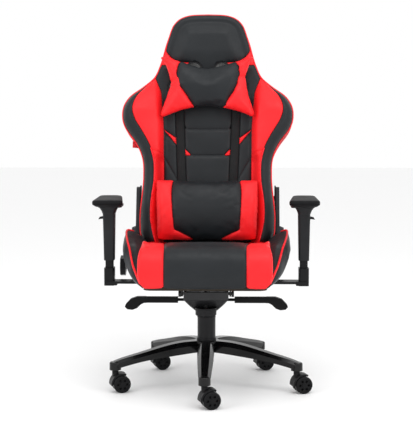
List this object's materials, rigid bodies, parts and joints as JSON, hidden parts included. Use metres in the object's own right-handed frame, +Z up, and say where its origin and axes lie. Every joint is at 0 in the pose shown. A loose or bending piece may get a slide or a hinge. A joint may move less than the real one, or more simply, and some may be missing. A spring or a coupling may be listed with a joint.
{
  "type": "gaming chair",
  "caption": "High-backed racing-style gaming chair with side wings, reclining back, neck and lumbar pillows, adjustable armrests and a five-leg caster base.",
  "frame": {"origin": "on the floor, on the axis of the gas column, midway between the five caster stems", "axes": "+Z up, +X to the sitter's left, -Y the way the chair faces"},
  "size_m": [0.7736, 0.757, 1.3117],
  "materials": {
    "base_plastic": "gloss",
    "column_metal": "satin",
    "piston_metal": "polished",
    "trim_plastic": "satin",
    "lever_plastic": "satin",
    "mechanism_metal": "satin",
    "spring_steel": "satin",
    "pan_wood": "matte",
    "red_leather": "satin",
    "black_leather": "satin",
    "back_board": "matte",
    "frame_metal": "satin",
    "gloss_trim": "gloss",
    "strap_fabric": "woven",
    "cover_plastic": "satin",
    "arm_metal": "satin",
    "arm_plastic": "satin",
    "pad_soft": "soft-touch",
    "caster_plastic": "satin",
    "wheel_plastic": "satin"
  },
  "bodies": {
    "base": {"star_base": "base_plastic", "column_tube": "column_metal", "cover_lower": "trim_plastic"},
    "lift": {"gas_cylinder": "piston_metal", "cover_upper": "trim_plastic"},
    "mechanism": {"tilt_housing": "mechanism_metal", "tilt_axle": "mechanism_metal", "tilt_spring": "spring_steel"},
    "knob": {"tension_knob": "trim_plastic"},
    "height_handle": {"height_lever": "lever_plastic"},
    "lock_handle": {"lock_lever": "lever_plastic"},
    "seat": {"seat_plate": "mechanism_metal", "seat_fasteners": "spring_steel", "seat_pan": "pan_wood", "seat_cushion": "red_leather", "seat_bolster_left": "black_leather", "seat_bolster_right": "black_leather", "recline_bracket_left": "frame_metal", "recline_bracket_right": "frame_metal", "recline_shaft": "mechanism_metal", "arm_post_left": "arm_metal", "arm_post_right": "arm_metal"},
    "recline_handle": {"recline_lever": "trim_plastic"},
    "backrest": {"back_cushion": "black_leather", "back_wing_left": "red_leather", "back_wing_right": "red_leather", "back_shell": "back_board", "back_frame": "frame_metal", "harness_bezels": "gloss_trim", "recline_cover_left": "cover_plastic", "recline_cover_right": "cover_plastic", "neck_strap": "strap_fabric", "lumbar_straps": "strap_fabric"},
    "neck_cushion": {"neck_pillow": "red_leather"},
    "lumbar_cushion": {"lumbar_pillow": "red_leather"},
    "arm_upper_left": {"arm_sleeve_left": "arm_plastic"},
    "arm_button_left": {"arm_trigger_left": "arm_plastic"},
    "arm_plate_left": {"arm_turntable_left": "arm_plastic"},
    "arm_top_left": {"arm_pad_left": "pad_soft"},
    "arm_upper_right": {"arm_sleeve_right": "arm_plastic"},
    "arm_button_right": {"arm_trigger_right": "arm_plastic"},
    "arm_plate_right": {"arm_turntable_right": "arm_plastic"},
    "arm_top_right": {"arm_pad_right": "pad_soft"},
    "caster_1": {"caster_fork_1": "caster_plastic"},
    "wheel_1_inner": {"caster_wheel_1_inner": "wheel_plastic"},
    "wheel_1_outer": {"caster_wheel_1_outer": "wheel_plastic"},
    "caster_2": {"caster_fork_2": "caster_plastic"},
    "wheel_2_inner": {"caster_wheel_2_inner": "wheel_plastic"},
    "wheel_2_outer": {"caster_wheel_2_outer": "wheel_plastic"},
    "caster_3": {"caster_fork_3": "caster_plastic"},
    "wheel_3_inner": {"caster_wheel_3_inner": "wheel_plastic"},
    "wheel_3_outer": {"caster_wheel_3_outer": "wheel_plastic"},
    "caster_4": {"caster_fork_4": "caster_plastic"},
    "wheel_4_inner": {"caster_wheel_4_inner": "wheel_plastic"},
    "wheel_4_outer": {"caster_wheel_4_outer": "wheel_plastic"},
    "caster_5": {"caster_fork_5": "caster_plastic"},
    "wheel_5_inner": {"caster_wheel_5_inner": "wheel_plastic"},
    "wheel_5_outer": {"caster_wheel_5_outer": "wheel_plastic"}
  },
  "joints": [
    {"name": "gas_lift", "type": "slide", "parent": "base", "child": "lift", "axis": [0, 0, 1], "range_m": [0, 0.075]},
    {"name": "seat_swivel", "type": "hinge", "parent": "lift", "child": "mechanism", "pos_m": [0, 0, 0.3], "axis": [0, 0, 1], "continuous": true},
    {"name": "tension_knob_turn", "type": "hinge", "parent": "mechanism", "child": "knob", "pos_m": [0, -0.095, 0.28], "axis": [0, 0, 1], "continuous": true},
    {"name": "height_lever_lift", "type": "hinge", "parent": "mechanism", "child": "height_handle", "pos_m": [-0.073, -0.03, 0.311], "axis": [0, 1, 0], "range_deg": [0, 8], "stiffness_Nm_per_rad": 3, "springref_deg": -8.59},
    {"name": "lock_lever_lift", "type": "hinge", "parent": "mechanism", "child": "lock_handle", "pos_m": [0.073, -0.03, 0.311], "axis": [0, -1, 0], "range_deg": [0, 8]},
    {"name": "seat_rock", "type": "hinge", "parent": "mechanism", "child": "seat", "pos_m": [0, -0.045, 0.335], "axis": [-1, 0, 0], "range_deg": [0, 10], "stiffness_Nm_per_rad": 180, "springref_deg": -20.05},
    {"name": "recline_lever_lift", "type": "hinge", "parent": "seat", "child": "recline_handle", "pos_m": [-0.285, 0.215, 0.43], "axis": [-1, 0, 0], "range_deg": [0, 25], "stiffness_Nm_per_rad": 2, "springref_deg": -20.05},
    {"name": "back_recline", "type": "hinge", "parent": "seat", "child": "backrest", "pos_m": [0, 0.215, 0.43], "axis": [-1, 0, 0], "range_deg": [0, 60]},
    {"name": "neck_pillow_slide", "type": "slide", "parent": "backrest", "child": "neck_cushion", "axis": [0, 0.1736, 0.9848], "range_m": [-0.03, 0.03]},
    {"name": "lumbar_pillow_slide", "type": "slide", "parent": "backrest", "child": "lumbar_cushion", "axis": [0, 0.1736, 0.9848], "range_m": [0, 0.12]},
    {"name": "arm_height_left", "type": "slide", "parent": "seat", "child": "arm_upper_left", "axis": [0, 0, 1], "range_m": [0, 0.08]},
    {"name": "arm_trigger_press_left", "type": "hinge", "parent": "arm_upper_left", "child": "arm_button_left", "pos_m": [0.3545, 0, 0.589], "axis": [0, -1, 0], "range_deg": [0, 8], "stiffness_Nm_per_rad": 0.002, "springref_deg": -17.19},
    {"name": "arm_turn_left", "type": "hinge", "parent": "arm_upper_left", "child": "arm_plate_left", "pos_m": [0.338, 0, 0.632], "axis": [0, 0, 1], "range_deg": [-18, 18]},
    {"name": "arm_pad_slide_left", "type": "slide", "parent": "arm_plate_left", "child": "arm_top_left", "axis": [0, 1, 0], "range_m": [-0.025, 0.025]},
    {"name": "arm_height_right", "type": "slide", "parent": "seat", "child": "arm_upper_right", "axis": [0, 0, 1], "range_m": [0, 0.08]},
    {"name": "arm_trigger_press_right", "type": "hinge", "parent": "arm_upper_right", "child": "arm_button_right", "pos_m": [-0.3545, 0, 0.589], "axis": [0, 1, 0], "range_deg": [0, 8], "stiffness_Nm_per_rad": 0.002, "springref_deg": -17.19},
    {"name": "arm_turn_right", "type": "hinge", "parent": "arm_upper_right", "child": "arm_plate_right", "pos_m": [-0.338, 0, 0.632], "axis": [0, 0, 1], "range_deg": [-18, 18]},
    {"name": "arm_pad_slide_right", "type": "slide", "parent": "arm_plate_right", "child": "arm_top_right", "axis": [0, 1, 0], "range_m": [-0.025, 0.025]},
    {"name": "caster_swivel_1", "type": "hinge", "parent": "base", "child": "caster_1", "pos_m": [0, -0.327, 0.09], "axis": [0, 0, 1], "continuous": true},
    {"name": "wheel_roll_1_inner", "type": "hinge", "parent": "caster_1", "child": "wheel_1_inner", "pos_m": [0.01913, -0.32115, 0.03], "axis": [-0.2924, 0.9563, 0], "continuous": true},
    {"name": "wheel_roll_1_outer", "type": "hinge", "parent": "caster_1", "child": "wheel_1_outer", "pos_m": [0.01913, -0.32115, 0.03], "axis": [-0.2924, 0.9563, 0], "continuous": true},
    {"name": "caster_swivel_2", "type": "hinge", "parent": "base", "child": "caster_2", "pos_m": [0.311, -0.10105, 0.09], "axis": [0, 0, 1], "continuous": true},
    {"name": "wheel_roll_2_inner", "type": "hinge", "parent": "caster_2", "child": "wheel_2_inner", "pos_m": [0.33012, -0.0952, 0.03], "axis": [-0.2924, 0.9563, 0], "continuous": true},
    {"name": "wheel_roll_2_outer", "type": "hinge", "parent": "caster_2", "child": "wheel_2_outer", "pos_m": [0.33012, -0.0952, 0.03], "axis": [-0.2924, 0.9563, 0], "continuous": true},
    {"name": "caster_swivel_3", "type": "hinge", "parent": "base", "child": "caster_3", "pos_m": [0.19221, 0.26455, 0.09], "axis": [0, 0, 1], "continuous": true},
    {"name": "wheel_roll_3_inner", "type": "hinge", "parent": "caster_3", "child": "wheel_3_inner", "pos_m": [0.21133, 0.2704, 0.03], "axis": [-0.2924, 0.9563, 0], "continuous": true},
    {"name": "wheel_roll_3_outer", "type": "hinge", "parent": "caster_3", "child": "wheel_3_outer", "pos_m": [0.21133, 0.2704, 0.03], "axis": [-0.2924, 0.9563, 0], "continuous": true},
    {"name": "caster_swivel_4", "type": "hinge", "parent": "base", "child": "caster_4", "pos_m": [-0.19221, 0.26455, 0.09], "axis": [0, 0, 1], "continuous": true},
    {"name": "wheel_roll_4_inner", "type": "hinge", "parent": "caster_4", "child": "wheel_4_inner", "pos_m": [-0.17308, 0.2704, 0.03], "axis": [-0.2924, 0.9563, 0], "continuous": true},
    {"name": "wheel_roll_4_outer", "type": "hinge", "parent": "caster_4", "child": "wheel_4_outer", "pos_m": [-0.17308, 0.2704, 0.03], "axis": [-0.2924, 0.9563, 0], "continuous": true},
    {"name": "caster_swivel_5", "type": "hinge", "parent": "base", "child": "caster_5", "pos_m": [-0.311, -0.10105, 0.09], "axis": [0, 0, 1], "continuous": true},
    {"name": "wheel_roll_5_inner", "type": "hinge", "parent": "caster_5", "child": "wheel_5_inner", "pos_m": [-0.29187, -0.0952, 0.03], "axis": [-0.2924, 0.9563, 0], "continuous": true},
    {"name": "wheel_roll_5_outer", "type": "hinge", "parent": "caster_5", "child": "wheel_5_outer", "pos_m": [-0.29187, -0.0952, 0.03], "axis": [-0.2924, 0.9563, 0], "continuous": true}
  ]
}
